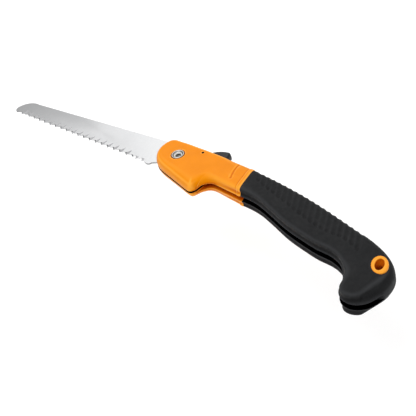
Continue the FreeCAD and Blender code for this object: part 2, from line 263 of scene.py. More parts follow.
def toward(start, goal, amount):
    """start where amount is 0, goal where it is 1."""
    return start + amount * (goal - start)


def spline(points, steps):
    """A natural cubic curve through the points, with steps[i] samples on stretch i."""
    p = np.array(points, float)
    gap = np.maximum(np.linalg.norm(np.diff(p, axis=0), axis=1), 1e-6)
    system = np.eye(len(p))
    right = np.zeros_like(p)
    for i in range(1, len(p) - 1):
        system[i, i - 1:i + 2] = gap[i - 1], 2 * (gap[i - 1] + gap[i]), gap[i]
        right[i] = 6 * ((p[i + 1] - p[i]) / gap[i] - (p[i] - p[i - 1]) / gap[i - 1])
    bend = np.linalg.solve(system, right)
    samples = []
    for i, count in enumerate(steps):
        for k in range(count):
            b = k / count
            a = 1 - b
            curve = (a ** 3 - a) * bend[i] + (b ** 3 - b) * bend[i + 1]
            samples.append(a * p[i] + b * p[i + 1] + curve * gap[i] ** 2 / 6)
    samples.append(p[-1])
    return np.array(samples)


def nearest_on(points, line):
    """For each point, the distance to an open polyline and the nearest place on it."""
    a = line[:-1]
    along = line[1:] - a
    length = np.maximum((along ** 2).sum(1), 1e-12)
    best = np.zeros(len(points))
    place = np.zeros_like(points)
    block_size = 4000
    for start in range(0, len(points), block_size):
        block = slice(start, start + block_size)
        here = points[block, None]
        t = ((here - a) * along).sum(2) / length
        spot = a + along * np.clip(t, 0, 1)[:, :, None]
        reach = np.linalg.norm(here - spot, axis=2)
        rows = np.arange(len(here))
        pick = reach.argmin(1)
        best[block] = reach[rows, pick]
        place[block] = spot[rows, pick]
    return best, place


def polar(radius, degrees):
    return radius * math.cos(math.radians(degrees)), radius * math.sin(math.radians(degrees))


def arc(centre, radius, start, end, steps):
    """Points of a circular arc, both ends included."""
    spokes = [polar(radius, start + (end - start) * i / steps) for i in range(steps + 1)]
    return [(centre[0] + x, centre[1] + y) for x, y in spokes]


def arc_through(a, b, c, steps):
    """Points of the circular arc from a through b to c."""
    p = np.array([a, b, c], float)
    squares = (p ** 2).sum(axis=1)
    centre = np.linalg.solve(2 * (p[1:] - p[0]), squares[1:] - squares[0])
    angles = np.degrees(np.arctan2(p[:, 1] - centre[1], p[:, 0] - centre[0]))
    sweep = (angles[2] - angles[0]) % 360
    if (angles[1] - angles[0]) % 360 > sweep:
        sweep -= 360
    return arc(centre, math.dist(centre, a), angles[0], angles[0] + sweep, steps)


def in_scene(name, data):
    obj = bpy.data.objects.new(name, data)
    bpy.context.scene.collection.objects.link(obj)
    return obj


def mesh_object(name, points, faces, smooth_deg):
    """A clean closed mesh from millimetre points, smooth except across edges sharper than smooth_deg."""
    mesh = bpy.data.meshes.new(name)
    mesh.from_pydata(to_frame(points).tolist(), [], faces)
    obj = in_scene(name, mesh)
    tidy_mesh(obj, smooth_deg)
    return obj


def tidy_mesh(obj, smooth_deg):
    b = bmesh.new()
    b.from_mesh(obj.data)
    bmesh.ops.remove_doubles(b, verts=b.verts, dist=2e-6)
    bmesh.ops.dissolve_degenerate(b, edges=b.edges, dist=1e-6)
    bmesh.ops.recalc_face_normals(b, faces=b.faces)
    b.to_mesh(obj.data)
    b.free()
    obj.data.polygons.foreach_set("use_smooth", [True] * len(obj.data.polygons))
    obj.data.set_sharp_from_angle(angle=math.radians(smooth_deg))


def tube(name, loops, smooth_deg=35.0, closed=False):
    """A skin over equal rings of points; capped at both ends, or joined up into itself when closed."""
    count = len(loops[0])
    points = np.concatenate(loops)
    faces = []
    last = len(loops) if closed else len(loops) - 1
    for j in range(last):
        here = j * count
        there = (j + 1) % len(loops) * count
        for i in range(count):
            k = (i + 1) % count
            faces.append((here + i, here + k, there + k, there + i))
    if not closed:
        faces.append(tuple(range(count))[::-1])
        faces.append(tuple(range((len(loops) - 1) * count, len(loops) * count)))
    return mesh_object(name, points, faces, smooth_deg)


def lifted(flat, z):
    """Flat points raised to one height, or each to its own."""
    return np.column_stack([flat, np.ones(len(flat)) * z])


def ring(radius, z, centre=(0, 0), steps=72):
    return oval(radius, radius, 0, z, centre, steps)


def oval(half_length, half_width, degrees, z, centre, steps=96):
    """A ring of points on an ellipse."""
    t = np.arange(steps) * 2 * math.pi / steps - math.radians(degrees)
    x = half_length * np.cos(t)
    y = half_width * np.sin(t)
    cos, sin = polar(1, degrees)
    turned = np.column_stack([x * cos - y * sin + centre[0], x * sin + y * cos + centre[1]])
    return lifted(turned, z)


def hexagon(corner_radius, z, steps=72):
    """A ring of points on a regular hexagon."""
    t = np.arange(steps) * 2 * math.pi / steps
    sector = (t + math.pi / 6) % (math.pi / 3) - math.pi / 6
    radius = corner_radius * math.cos(math.pi / 6) / np.cos(sector)
    return lifted(np.column_stack([radius * np.cos(t), radius * np.sin(t)]), z)


def join(objects):
    """Several meshes in the first object; the others are removed."""
    b = bmesh.new()
    for obj in objects:
        b.from_mesh(obj.data)
    b.to_mesh(objects[0].data)
    b.free()
    for obj in objects[1:]:
        bpy.data.objects.remove(obj)
    return objects[0]


def cut(obj, cutters, smooth_deg=35.0):
    """Removes the cutters' volumes from obj for good."""
    cutter = join(cutters)
    modifier = obj.modifiers.new("cut", "BOOLEAN")
    modifier.operation = "DIFFERENCE"
    modifier.solver = "EXACT"
    modifier.object = cutter
    bake_modifiers(obj)
    bpy.data.objects.remove(cutter)
    tidy_mesh(obj, smooth_deg)


def bake_modifiers(obj):
    evaluated = obj.evaluated_get(bpy.context.evaluated_depsgraph_get())
    result = bpy.data.meshes.new_from_object(evaluated)
    obj.modifiers.clear()
    obj.data = result


def copied(obj, name):
    return in_scene(name, obj.data.copy())


def mirror_z(obj):
    """The same mesh on the other side of the saw's middle plane."""
    obj.data.transform(Matrix.Diagonal((1, 1, -1, 1)))
    obj.data.flip_normals()
    return obj


# ------------------------ the case halves

class Case:
    """Grid over one half of the case: columns run from the nose to the hook, rows from belly to spine."""

    def __init__(self):
        belly_points = [station[:2] for station in STATIONS]
        spine_points = [station[2:4] for station in STATIONS]
        steps = []
        for i in range(len(STATIONS) - 1):
            belly_run = math.dist(belly_points[i], belly_points[i + 1])
            spine_run = math.dist(spine_points[i], spine_points[i + 1])
            steps.append(max(3, round(max(belly_run, spine_run) / COLUMN_STEP)))
        round_the_nose = spline(belly_points[::-1] + spine_points[1:], steps[::-1] + steps)
        half = sum(steps)
        self.belly = round_the_nose[:half + 1][::-1]
        self.spine = round_the_nose[half:]
        self.outline = np.concatenate([self.belly[::-1], self.spine[1:]])
        self.chord = np.maximum(np.linalg.norm(self.spine - self.belly, axis=1), 1e-6)
        self.first = np.concatenate([[0], np.cumsum(steps)])
        self.station = np.interp(np.arange(half + 1), self.first, np.arange(len(STATIONS)))
        self.thick = self.along_case([station[4] for station in STATIONS])
        self.rounding = self.along_case([station[5] for station in STATIONS])
        rows_up = 0.5 * (np.arange(ROWS + 1) / ROWS) ** ROW_CROWDING
        self.share = np.concatenate([rows_up, 1 - rows_up[:-1][::-1]])
        self.belly_gap, self.spine_gap = self.gaps()
        self.outside, self.belly_lip, self.spine_lip = self.outside_and_lips()
        self.core = self.core_outside()

    def along_case(self, values):
        """A value given at the stations, spread over the columns and evened out."""
        spread = np.interp(self.station, np.arange(len(STATIONS)), values)
        window = 2 * EVEN_OUT + 1
        return np.convolve(np.pad(spread, EVEN_OUT, "edge"), np.ones(window) / window, "valid")

    def flat(self, share):
        """Places on the middle plane, columns by rows, for one set of shares or one for each column."""
        share = np.broadcast_to(share, (len(self.belly), np.shape(share)[-1]))
        return self.belly[:, None] + (self.spine - self.belly)[:, None] * share[:, :, None]

    def at_share(self, share):
        """One place in each column, at that column's own share of the way from belly to spine."""
        return self.flat(share[:, None])[:, 0]

    def height(self, flat, share, inset):
        """Superellipse rounding by distance from the outline; also that distance and its nearest place."""
        reach, place = nearest_on(flat.reshape(-1, 2), self.outline)
        reach = reach.reshape(flat.shape[:2])
        power, width = self.rolling(share)
        rise = 1 - (1 - np.clip(reach / width, 0, 1)) ** power
        z = (self.thick[:, None] - inset) * rise ** (1 / power)
        return z, reach, place.reshape(flat.shape)

    def rolling(self, share):
        """The rounding's power and width at every place; each region eases into the next."""
        at = self.station[:, None]
        side = smooth(0.3, 0.7, share)
        grip = smooth(GAP_END + 1, BOUNDARY - 2, at)
        cheek = smooth(1, 5, at) * (1 - smooth(GAP_END - 1, GAP_END + 4, at)) * (1 - side)
        hook = np.maximum(smooth(*HOOK_SPINE_SIDE, at) * side, smooth(*HOOK_BOTH_SIDES, at))
        throat = smooth(*THROAT_STARTS, at) * (1 - smooth(*THROAT_ENDS, at)) * (1 - side)
        power = toward(HEAD_POWER, CHEEK_POWER, cheek)
        power = toward(power, toward(BELLY_POWER, SPINE_POWER, side), grip)
        power = toward(power, HOOK_POWER, hook)
        power = toward(power, THROAT_POWER, throat)
        width = self.rounding[:, None] * (1 + grip * toward(-0.09, 0.06, side))
        width = toward(width, HOOK_ROUND, hook) + throat * THROAT_WIDER
        cheek_round = CHEEK_ROUND * (0.7 + 0.35 * smooth(4, 9, at))
        return power, width + cheek * np.maximum(cheek_round - width, 0)

    def outer(self):
        """The outside surface with its valley, crease, collar, engraved line and ribs."""
        share = self.share[None, :]
        at = self.station[:, None]
        flat = self.flat(self.share)
        z, reach, place = self.height(flat, share, 0.0)
        grip = smooth(BOUNDARY - 6, BOUNDARY, at)
        belly_side = np.maximum(1 - smooth(0.35, 0.5, share), smooth(*VALLEY_TURNS, at))
        valley = VALLEY_DEPTH * bell(z - VALLEY_HEIGHT, VALLEY_WIDTH) * grip * belly_side
        inward = flat - place
        inward /= np.maximum(np.linalg.norm(inward, axis=2, keepdims=True), 1e-6)
        flat = flat + inward * (valley * (reach > 0.01))[:, :, None]
        surface = np.dstack([flat, z])
        relief = self.collar(flat) - self.neck_line(flat) - self.grooves(flat)
        relief = relief + self.crease(z, reach, belly_side)
        return surface + self.normals(surface) * relief[:, :, None]

    def crease(self, z, reach, belly_side):
        """A soft ridge that runs along the cheek, the belly and round the hook."""
        at = self.station[:, None]
        round_hook = smooth(*CREASE_TURNS, at)
        on_head = smooth(1, 4, at) * (1 - smooth(GAP_END - 4, GAP_END, at))
        cheek = bell(reach - CHEEK_CREASE_IN, CREASE_WIDTH) * on_head
        grip = bell(z - CREASE_Z, CREASE_WIDTH) * smooth(GAP_END + 1, GAP_END + 6, at)
        past_hook = round_hook * (1 - smooth(34.0, 35.0, at)) * smooth(0.75, 0.9, self.share)
        side = np.maximum(belly_side, past_hook)
        return CREASE_HEIGHT * (0.45 * cheek * belly_side + grip * side * (0.5 + 0.9 * round_hook))

    @staticmethod
    def normals(surface):
        along = np.gradient(surface, axis=0)
        across = np.gradient(surface, axis=1)
        normal = np.cross(along, across)
        normal /= np.maximum(np.linalg.norm(normal, axis=2, keepdims=True), 1e-9)
        return normal

    def collar(self, flat):
        """The raised end of the orange, and the black tucked in where it meets it."""
        column = self.first[BOUNDARY]
        start = self.belly[column]
        line = self.spine[column] - start
        beyond = (flat - start) @ (np.array([line[1], -line[0]]) / np.linalg.norm(line))
        raised = smooth(-COLLAR_WIDTH - 0.45, -COLLAR_WIDTH + 0.45, beyond)
        edge = 1 - 0.9 * bell(beyond + 0.05, 0.5)
        orange = self.station[:, None] <= BOUNDARY
        return COLLAR_HEIGHT * raised * edge * orange - 0.25 * bell(beyond, 0.45) * (1 - orange)

    @staticmethod
    def neck_line(flat):
        line = spline(NECK_LINE, [12] * (len(NECK_LINE) - 1))
        reach, _ = nearest_on(flat.reshape(-1, 2), line)
        return NECK_LINE_DEPTH * bell(reach.reshape(flat.shape[:2]), NECK_LINE_WIDTH)

    def grooves(self, flat):
        """Depth of the round bottomed grooves between the ribs; each ends in a small dimple."""
        x = flat[:, :, 0]
        y = flat[:, :, 1]
        at = self.station[:, None]
        spine_y = np.interp(x, self.spine[:, 0], self.spine[:, 1])
        foot = x - GROOVE_SLOPE * (spine_y - y)
        number = np.clip(np.round((foot - FIRST_GROOVE) / RIB_PITCH), 0, GROOVES - 1)
        offset = foot - (FIRST_GROOVE + number * RIB_PITCH)
        valley = np.clip(1 - (offset / (RIB_PITCH / 2)) ** 2, 0, 1) ** 1.6
        above = y - np.interp(x, *np.array(GROOVE_END, float).T)
        reach = smooth(-0.9, 0.9, above - 0.18 * offset ** 2)
        fading = 0.5 + 0.5 * np.exp(-np.maximum(spine_y - y, 0) / 5.0)
        dimple = fading + 0.7 * bell(above - 1.2, 1.8)
        on_grip = (at > BOUNDARY + 0.1) & (at < CORE_END - 1)
        return GROOVE_DEPTH * valley * reach * dimple * on_grip

    def gaps(self):
        """Half heights of the hollow under the belly side and under the spine side, for each column."""
        in_head = self.station <= GAP_END
        belly_gap = np.where(in_head, HEAD_GAP, SLOT)
        spine_gap = np.where(in_head, HEAD_GAP, np.where(self.station > OPEN_HOOK, SLOT, 0.0))
        return belly_gap, spine_gap

    def outside_and_lips(self):
        """Rows of the outside, and the lips that turn from its rims in to the hollow."""
        outside = self.outer()
        belly_round = toward(HEAD_LIP, SLOT_LIP, smooth(GAP_END, GAP_END + 4, self.station))
        spine_round = np.where(self.spine_gap > 0, HEAD_LIP, SEAM_LIP)
        belly_rim = (self.belly_gap + belly_round)[:, None]
        spine_rim = (self.spine_gap + spine_round)[:, None]
        near_belly = np.linspace(0, 1, len(self.share))[None, :] < 0.5
        outside[:, :, 2] = np.maximum(outside[:, :, 2], np.where(near_belly, belly_rim, spine_rim))
        belly_in = self.at_share(np.minimum(belly_round / self.chord, 0.45))
        spine_in = self.at_share(1 - np.minimum(spine_round / self.chord, 0.45))
        spine_in = spine_in + (outside[:, -1, :2] - self.spine)
        belly_lip = lip(outside[:, 0], belly_in, self.belly_gap, belly_round)
        spine_lip = lip(outside[:, -1], spine_in, self.spine_gap, spine_round)
        return outside, belly_lip, spine_lip

    def core_outside(self):
        """The orange core's outside under the grip, one skin thickness below the black surface."""
        low = np.minimum(CORE_FROM_BELLY / self.chord, 0.45)[:, None]
        high = 1 - np.minimum(SKIN / self.chord, 0.2)[:, None]
        share = low + (high - low) * self.share[None, :]
        flat = self.flat(share)
        z, _, _ = self.height(flat, share, SKIN)
        z[:, -1] = 0.0
        z[:, 0] = self.belly_gap
        return np.dstack([flat, np.maximum(z, 0)])

    def ceiling_share(self):
        """Where each column's chord meets the slot's ceiling."""
        line = np.array(CEILING, float)
        result = np.full(len(self.belly), 0.5)
        for j in range(self.first[GAP_END], len(self.belly)):
            chord = self.spine[j] - self.belly[j]
            normal = np.array([-chord[1], chord[0]])
            side = (line - self.belly[j]) @ normal
            for i in range(len(line) - 1):
                if side[i] * side[i + 1] < 0:
                    spot = line[i] + (line[i + 1] - line[i]) * side[i] / (side[i] - side[i + 1])
                    result[j] = np.clip(((spot - self.belly[j]) @ chord) / (chord @ chord), 0.1, 0.9)
        return result

    def inner_rows(self, lowest, highest):
        """The step between the hollow under the spine side and the slot under the belly side."""
        ceiling = self.ceiling_share()
        above = self.at_share(np.clip(ceiling + CEILING_STEP, lowest, highest))
        below = self.at_share(np.clip(ceiling - CEILING_STEP, lowest, highest))
        return [lifted(above, self.spine_gap), lifted(below, self.belly_gap)]


def lip(rim, inner, gap, rounding):
    """Three rows that turn from the outside surface's rim under to the inner face."""
    rim = rim[:, :2]
    return [lifted(toward(rim, inner, 0.12), gap + rounding * 0.45),
            lifted(toward(rim, inner, 0.45), gap + rounding * 0.12),
            lifted(inner, gap)]


def rows_of(grid):
    return [grid[:, i] for i in range(grid.shape[1])]


def stack(rows, columns):
    """Loops for `tube`: row by row points gathered into one ring for each column."""
    table = np.stack(rows, axis=1)
    return [table[j] for j in columns]


def half_shell(name, case):
    """Orange half: head and neck on the outside, then the core that carries the grip."""
    rows = rows_of(case.outside) + case.spine_lip + case.inner_rows(0.06, 0.94) + case.belly_lip[::-1]
    gap_end = case.first[GAP_END]
    boundary = case.first[BOUNDARY]
    head = stack(rows, range(0, boundary + 1))
    wall = head[gap_end].copy()
    wall[:, 0] += STEP_WALL
    hollow = slice(len(case.share) + len(case.spine_lip) - 1, None)
    wall[hollow, 2] = head[gap_end + 1][hollow, 2]
    head.insert(gap_end + 1, wall)
    core = rows_of(case.core)
    core = core + [core[-1]] * 3 + case.inner_rows(0.3, 0.85) + [core[0]] * 3
    return tube(name, head + stack(core, range(boundary, case.first[CORE_END] + 1)))


def half_grip(name, case):
    """Black half: a skin over the core, thickened into the slot's lips and solid in the hook."""
    edge = np.minimum(1.3 * SLOT_LIP / case.chord, 0.46)[:, None]
    bare = case.flat(edge + (1 - 2 * edge) * case.share)
    in_slot = case.share[None, :] < case.ceiling_share()[:, None]
    bare_z = np.where(in_slot, case.belly_gap[:, None], case.spine_gap[:, None])
    beyond_core = (case.station > CORE_END)[:, None, None]
    under = np.where(beyond_core, np.dstack([bare, bare_z]), case.core)
    rows = rows_of(case.outside) + case.spine_lip + rows_of(under)[::-1] + case.belly_lip[::-1]
    loops = stack(rows, range(case.first[BOUNDARY], len(case.chord)))
    loops[0] = loops[0] + np.array([SEAM_CLEARANCE, 0, 0])
    loops[-1] = np.tile(loops[-1].mean(axis=0), (len(rows), 1))
    return tube(name, loops)


def pivot_cutter(bore_top):
    """Washer pocket, a bore for the bush or the nut's barrel, and the pocket for the head."""
    profile = [(WASHER_POCKET_R, -1), (WASHER_POCKET_R, WASHER_POCKET_TOP), (BUSH_R, WASHER_POCKET_TOP),
               (BUSH_R, bore_top)]
    if bore_top < HEAD_SEAT:
        profile += [(SHANK_R, bore_top), (SHANK_R, HEAD_SEAT)]
    mouth_r = BOLT_POCKET_R + 0.35
    profile += [(BOLT_POCKET_R, HEAD_SEAT), (BOLT_POCKET_R, 7.2), (mouth_r, 7.55), (mouth_r, ABOVE_CASE)]
    return tube("pivot_cutter", [ring(r, z) for r, z in profile])


def hang_cutter():
    ovals = [(HANG_TUBE_R, HANG_TUBE_R, 0, -3), (HANG_TUBE_R, HANG_TUBE_R, 0, RING_SEAT),
             (RING_A, RING_B, RING_DEG, RING_SEAT), (RING_A, RING_B, RING_DEG, ABOVE_CASE)]
    return tube("hang_cutter", [oval(*values, HANG[:2]) for values in ovals])


def pin_cutter(at, radius, low, chamfer_at):
    wide = radius + 0.3
    profile = [(radius, low), (radius, chamfer_at), (wide, chamfer_at + 0.3), (wide, ABOVE_CASE)]
    return tube("pin_cutter", [ring(r, z, at, 40) for r, z in profile])


def prism(name, outline, low, high):
    flat = np.array(outline, float)
    return tube(name, [lifted(flat, low), lifted(flat, high)])


def button_cutter():
    outline = [(11.2, 15.4), (22, 13.9), (41, 15.4), (41, 40), (11.2, 40)]
    return prism("button_cutter", outline, -1, 3.8)


def screw_places():
    """Centres of the case screws, from their CAD solids: they lie well apart along the case."""
    mesh = frame["nodes"]["case_screws"].data
    points = (np.array([v.co for v in mesh.vertices]) - PIVOT) / MM
    points = points[points[:, 0].argsort()]
    screws = np.split(points, np.flatnonzero(np.diff(points[:, 0]) > 8) + 1)
    return [(screw.min(axis=0) + screw.max(axis=0))[:2] / 2 for screw in screws]


def build_case():
    case = Case()
    near_shell = half_shell("orange_near_shell", case)
    far_shell = copied(near_shell, "orange_far_shell")
    near_grip = half_grip("soft_near_grip", case)
    far_grip = copied(near_grip, "soft_far_grip")
    screws = screw_places()
    for shell, bore_top, pockets in ((near_shell, BUSH_TOP, []), (far_shell, HEAD_SEAT, screws)):
        pin_hole = pin_cutter(LEVER_PIN[:2], PIN_R, -1, 7.3)
        shell_cuts = [pivot_cutter(bore_top), pin_hole, button_cutter(), hang_cutter()]
        cut(shell, shell_cuts + [pin_cutter(at, SCREW_POCKET_R, SCREW_SEAT, 7.6) for at in pockets])
    for grip, pockets in ((near_grip, []), (far_grip, screws[1:])):
        cut(grip, [hang_cutter()] + [pin_cutter(at, SCREW_POCKET_R, SCREW_SEAT, 9.6) for at in pockets])
    mirror_z(far_shell)
    mirror_z(far_grip)
    finish_piece(near_shell, "handle", orange_plastic(), "near_shell")
    finish_piece(far_shell, "handle", orange_plastic(), "far_shell")
    finish_piece(near_grip, "handle", soft_rubber(), "near_grip")
    finish_piece(far_grip, "handle", soft_rubber(), "far_grip")


# ------------------------ small pieces of the handle

def hang_ring(name):
    """Oval lining: a rolled rim outside that flows down into the round bore."""
    rim_a = RING_A - FIT
    rim_b = RING_B - FIT
    ovals = [(HANG_TUBE_R, HANG_TUBE_R, 0, 0.05), (HANG_TUBE_R, HANG_TUBE_R, 0, RING_SEAT + 0.05),
             (rim_a, rim_b, RING_DEG, RING_SEAT + 0.05), (rim_a, rim_b, RING_DEG, 9.2)]
    for i in range(9):
        across, up = polar(RIM_ROUND, 90 * i / 8)
        inset = RIM_ROUND - across
        ovals.append((rim_a - inset, rim_b - inset, RING_DEG, RING_CREST - RIM_ROUND + up))
    for i in range(1, 7):
        up, across = polar(MOUTH_ROUND, 90 * i / 6)
        out = MOUTH_ROUND - across
        ovals.append((MOUTH_A + out, MOUTH_B + out, MOUTH_DEG, RING_CREST - MOUTH_ROUND + up))
    for i in range(1, 11):
        narrowed = smooth(0, 1, i / 10)
        z = RING_CREST - MOUTH_ROUND - FLARE_DEPTH * i / 10
        ovals.append((toward(MOUTH_A, BORE_R, narrowed), toward(MOUTH_B, BORE_R, narrowed), MOUTH_DEG, z))
    ovals.append((BORE_R, BORE_R, 0, 0.05))
    return tube(name, [oval(*values, HANG[:2]) for values in ovals], smooth_deg=50, closed=True)


def pivot_bolt():
    """Domed rim, shallow dish and a hexagonal socket, on a plain shank."""
    profile = [(3.0, -6.0), (3.0, HEAD_SEAT), (BOLT_HEAD_R - 0.1, HEAD_SEAT),
               (BOLT_HEAD_R, HEAD_SEAT + 0.1), (BOLT_HEAD_R, 7.25)]
    rim_half = 0.65
    for i in range(1, 9):
        out, up = polar(1, 180 * i / 8)
        profile.append((BOLT_HEAD_R - rim_half + rim_half * out, 7.3 + 0.58 * up))
    profile += [(3.7, 6.85), (3.3, 6.62), (2.9, 6.55), (2.65, 6.55)]
    loops = [ring(r, z) for r, z in profile]
    loops += [hexagon(2.5, 6.45), hexagon(2.35, 6.25), hexagon(2.3, 4.6)]
    return tube("pivot_bolt_polished", loops, smooth_deg=32)


def build_handle_parts():
    finish_piece(pivot_bolt(), "handle", polished_steel(), "pivot_bolt")
    near_ring = hang_ring("near_hang_ring_moulded")
    far_ring = mirror_z(hang_ring("far_hang_ring_moulded"))
    finish_piece(near_ring, "handle", orange_plastic(), "near_hang_ring")
    finish_piece(far_ring, "handle", orange_plastic(), "far_hang_ring")


def bevel(obj, name, width_mm, segments, sharper_than_deg):
    modifier = obj.modifiers.new(name, "BEVEL")
    modifier.width = width_mm * MM
    modifier.segments = segments
    modifier.limit_method = "ANGLE"
    modifier.angle_limit = math.radians(sharper_than_deg)


def build_lock_button():
    """Thumb wedge: a rounded ramp, tapered flanks and a steep rear face."""
    side = [(19.6, 16.4), (18.0, 20.4)] + arc_through((21.0, 23.5), (25.6, 26.3), (30.3, 27.8), 8)
    front = len(side)
    side += [(31.3, 27.5), (34.8, 21.2), (34.8, 17.0), (24.6, 14.9)]
    loops = []
    for z, tuck in ((-3.5, 1.9), (-3.1, 1.1), (-2.3, 0.45), (0, 0), (2.3, 0.45), (3.1, 1.1), (3.5, 1.9)):
        profile = np.array(side, float)
        profile[front - 1:front + 2, 0] -= tuck
        loops.append(lifted(profile, z))
    obj = tube("thumb_button", loops, smooth_deg=30)
    bevel(obj, "round", 0.45, 3, 28)
    bake_modifiers(obj)
    tidy_mesh(obj, 40)
    finish_piece(obj, "lock", black_plastic(), "lock_button")


# ------------------------ the blade

def tooth_y(x):
    return TOOTH_AT_PIVOT + TOOTH_SLOPE * x


def spine_y(x):
    return SPINE_AT_PIVOT + SPINE_SLOPE * x


def tooth_edge():
    """Corners of the tooth edge, heel to tip, each with the face its next flank is ground on, or 0."""
    corners = []
    fine = TOOTH_PITCH / 2
    x = HEEL_TEETH_X
    for face in (-1, 1, -1, 1):
        corners.append((x, tooth_y(x), face))
        corners.append((x - fine * 0.35, tooth_y(x) + 1.6, -face))
        x -= fine * 0.9
    while x > TIP_TEETH_X:
        twin = x - 0.6 * TOOTH_PITCH
        corners.append((x, tooth_y(x), 1))
        corners.append((x - 0.32 * TOOTH_PITCH, tooth_y(x) + 0.36 * TOOTH_DEPTH, -1))
        corners.append((twin, tooth_y(twin), -1))
        corners.append((x - 0.79 * TOOTH_PITCH, tooth_y(x) + TOOTH_DEPTH, 1))
        x -= TOOTH_PITCH
    for face in (-1, 1, -1):
        corners.append((x, tooth_y(x), face))
        corners.append((x - fine * 0.42, tooth_y(x) + 1.3, -face))
        x -= fine * 0.84
    last_x, last_y, _ = corners.pop()
    return corners + [(last_x, last_y, 0)]


def blade_outline():
    """Corners of the blade, teeth first, then tip, spine and tang, each with its grinding face."""
    heel = (HEEL_X, tooth_y(HEEL_X) - 1.1)
    tip = arc_through((-194.6, -41.2), (-197.6, -39.4), (-198.6, -36.3), 8)
    tip += arc_through((-198.6, -36.3), (-195.2, -28.0), (-184.0, spine_y(-184.0)), 12)[1:]
    tang_start, tang_end = TANG_ENDS_DEG
    shoulder_x = polar(22.1, tang_start)[0]
    tang = [(shoulder_x, spine_y(shoulder_x))] + arc((0, 0), TANG_R, tang_start, tang_end, 48)
    throat = arc_through((-18.6, -14.6), (-19.8, -17.2), heel, 6)[:-1]
    return [(*heel, 0)] + tooth_edge() + [(x, y, 0) for x, y in tip + tang + throat]


def inset_ring(corners, amounts, z):
    """The outline with each side moved inwards by its own amount."""
    p = np.array([corner[:2] for corner in corners], float)
    side = np.roll(p, -1, axis=0) - p
    unit = side / np.linalg.norm(side, axis=1, keepdims=True)
    inward = np.column_stack([unit[:, 1], -unit[:, 0]])
    moved = []
    for i in range(len(p)):
        a, b = inward[i - 1], inward[i]
        turn = a[0] * b[1] - a[1] * b[0]
        if abs(turn) < 0.05:
            shift = (a * amounts[i - 1] + b * amounts[i]) / 2
        else:
            shift = np.linalg.solve(np.array([a, b]), [amounts[i - 1], amounts[i]])
        moved.append(p[i] + shift)
    return lifted(np.array(moved), z)


def build_blade():
    corners = blade_outline()
    loops = []
    for z in (-BLADE_HALF, -BLADE_HALF + EDGE_BREAK, BLADE_HALF - EDGE_BREAK, BLADE_HALF):
        amounts = []
        for _, _, face in corners:
            if face == 0:
                amounts.append(EDGE_BREAK if abs(z) == BLADE_HALF else 0.0)
            else:
                rise = face * z + BLADE_HALF - EDGE_BREAK
                amounts.append(GRIND * max(rise, 0) / (2 * BLADE_HALF - EDGE_BREAK) + EDGE_BREAK * 0.2)
        loops.append(inset_ring(corners, amounts, z))
    blade = tube("ground_blade", loops, smooth_deg=12)
    cutters = [tube("bore", [ring(BUSH_R + 0.05, -2), ring(BUSH_R + 0.05, 2)])]
    beyond = TANG_R + 2
    notch = [(NOTCH_FLOOR_R, -NOTCH_HALF), (beyond, -NOTCH_HALF), (beyond, NOTCH_HALF),
             (NOTCH_FLOOR_R, NOTCH_HALF)]
    for degrees in (NOTCH_DEG, NOTCH_DEG - joints["blade_fold"]["range_deg"][1]):
        cos, sin = polar(1, degrees)
        cutters.append(prism("notch", [(x * cos - y * sin, x * sin + y * cos) for x, y in notch], -2, 2))
    cut(blade, cutters, 12)
    finish_piece(blade, "blade", blade_steel(), "blade")


# ------------------------ materials

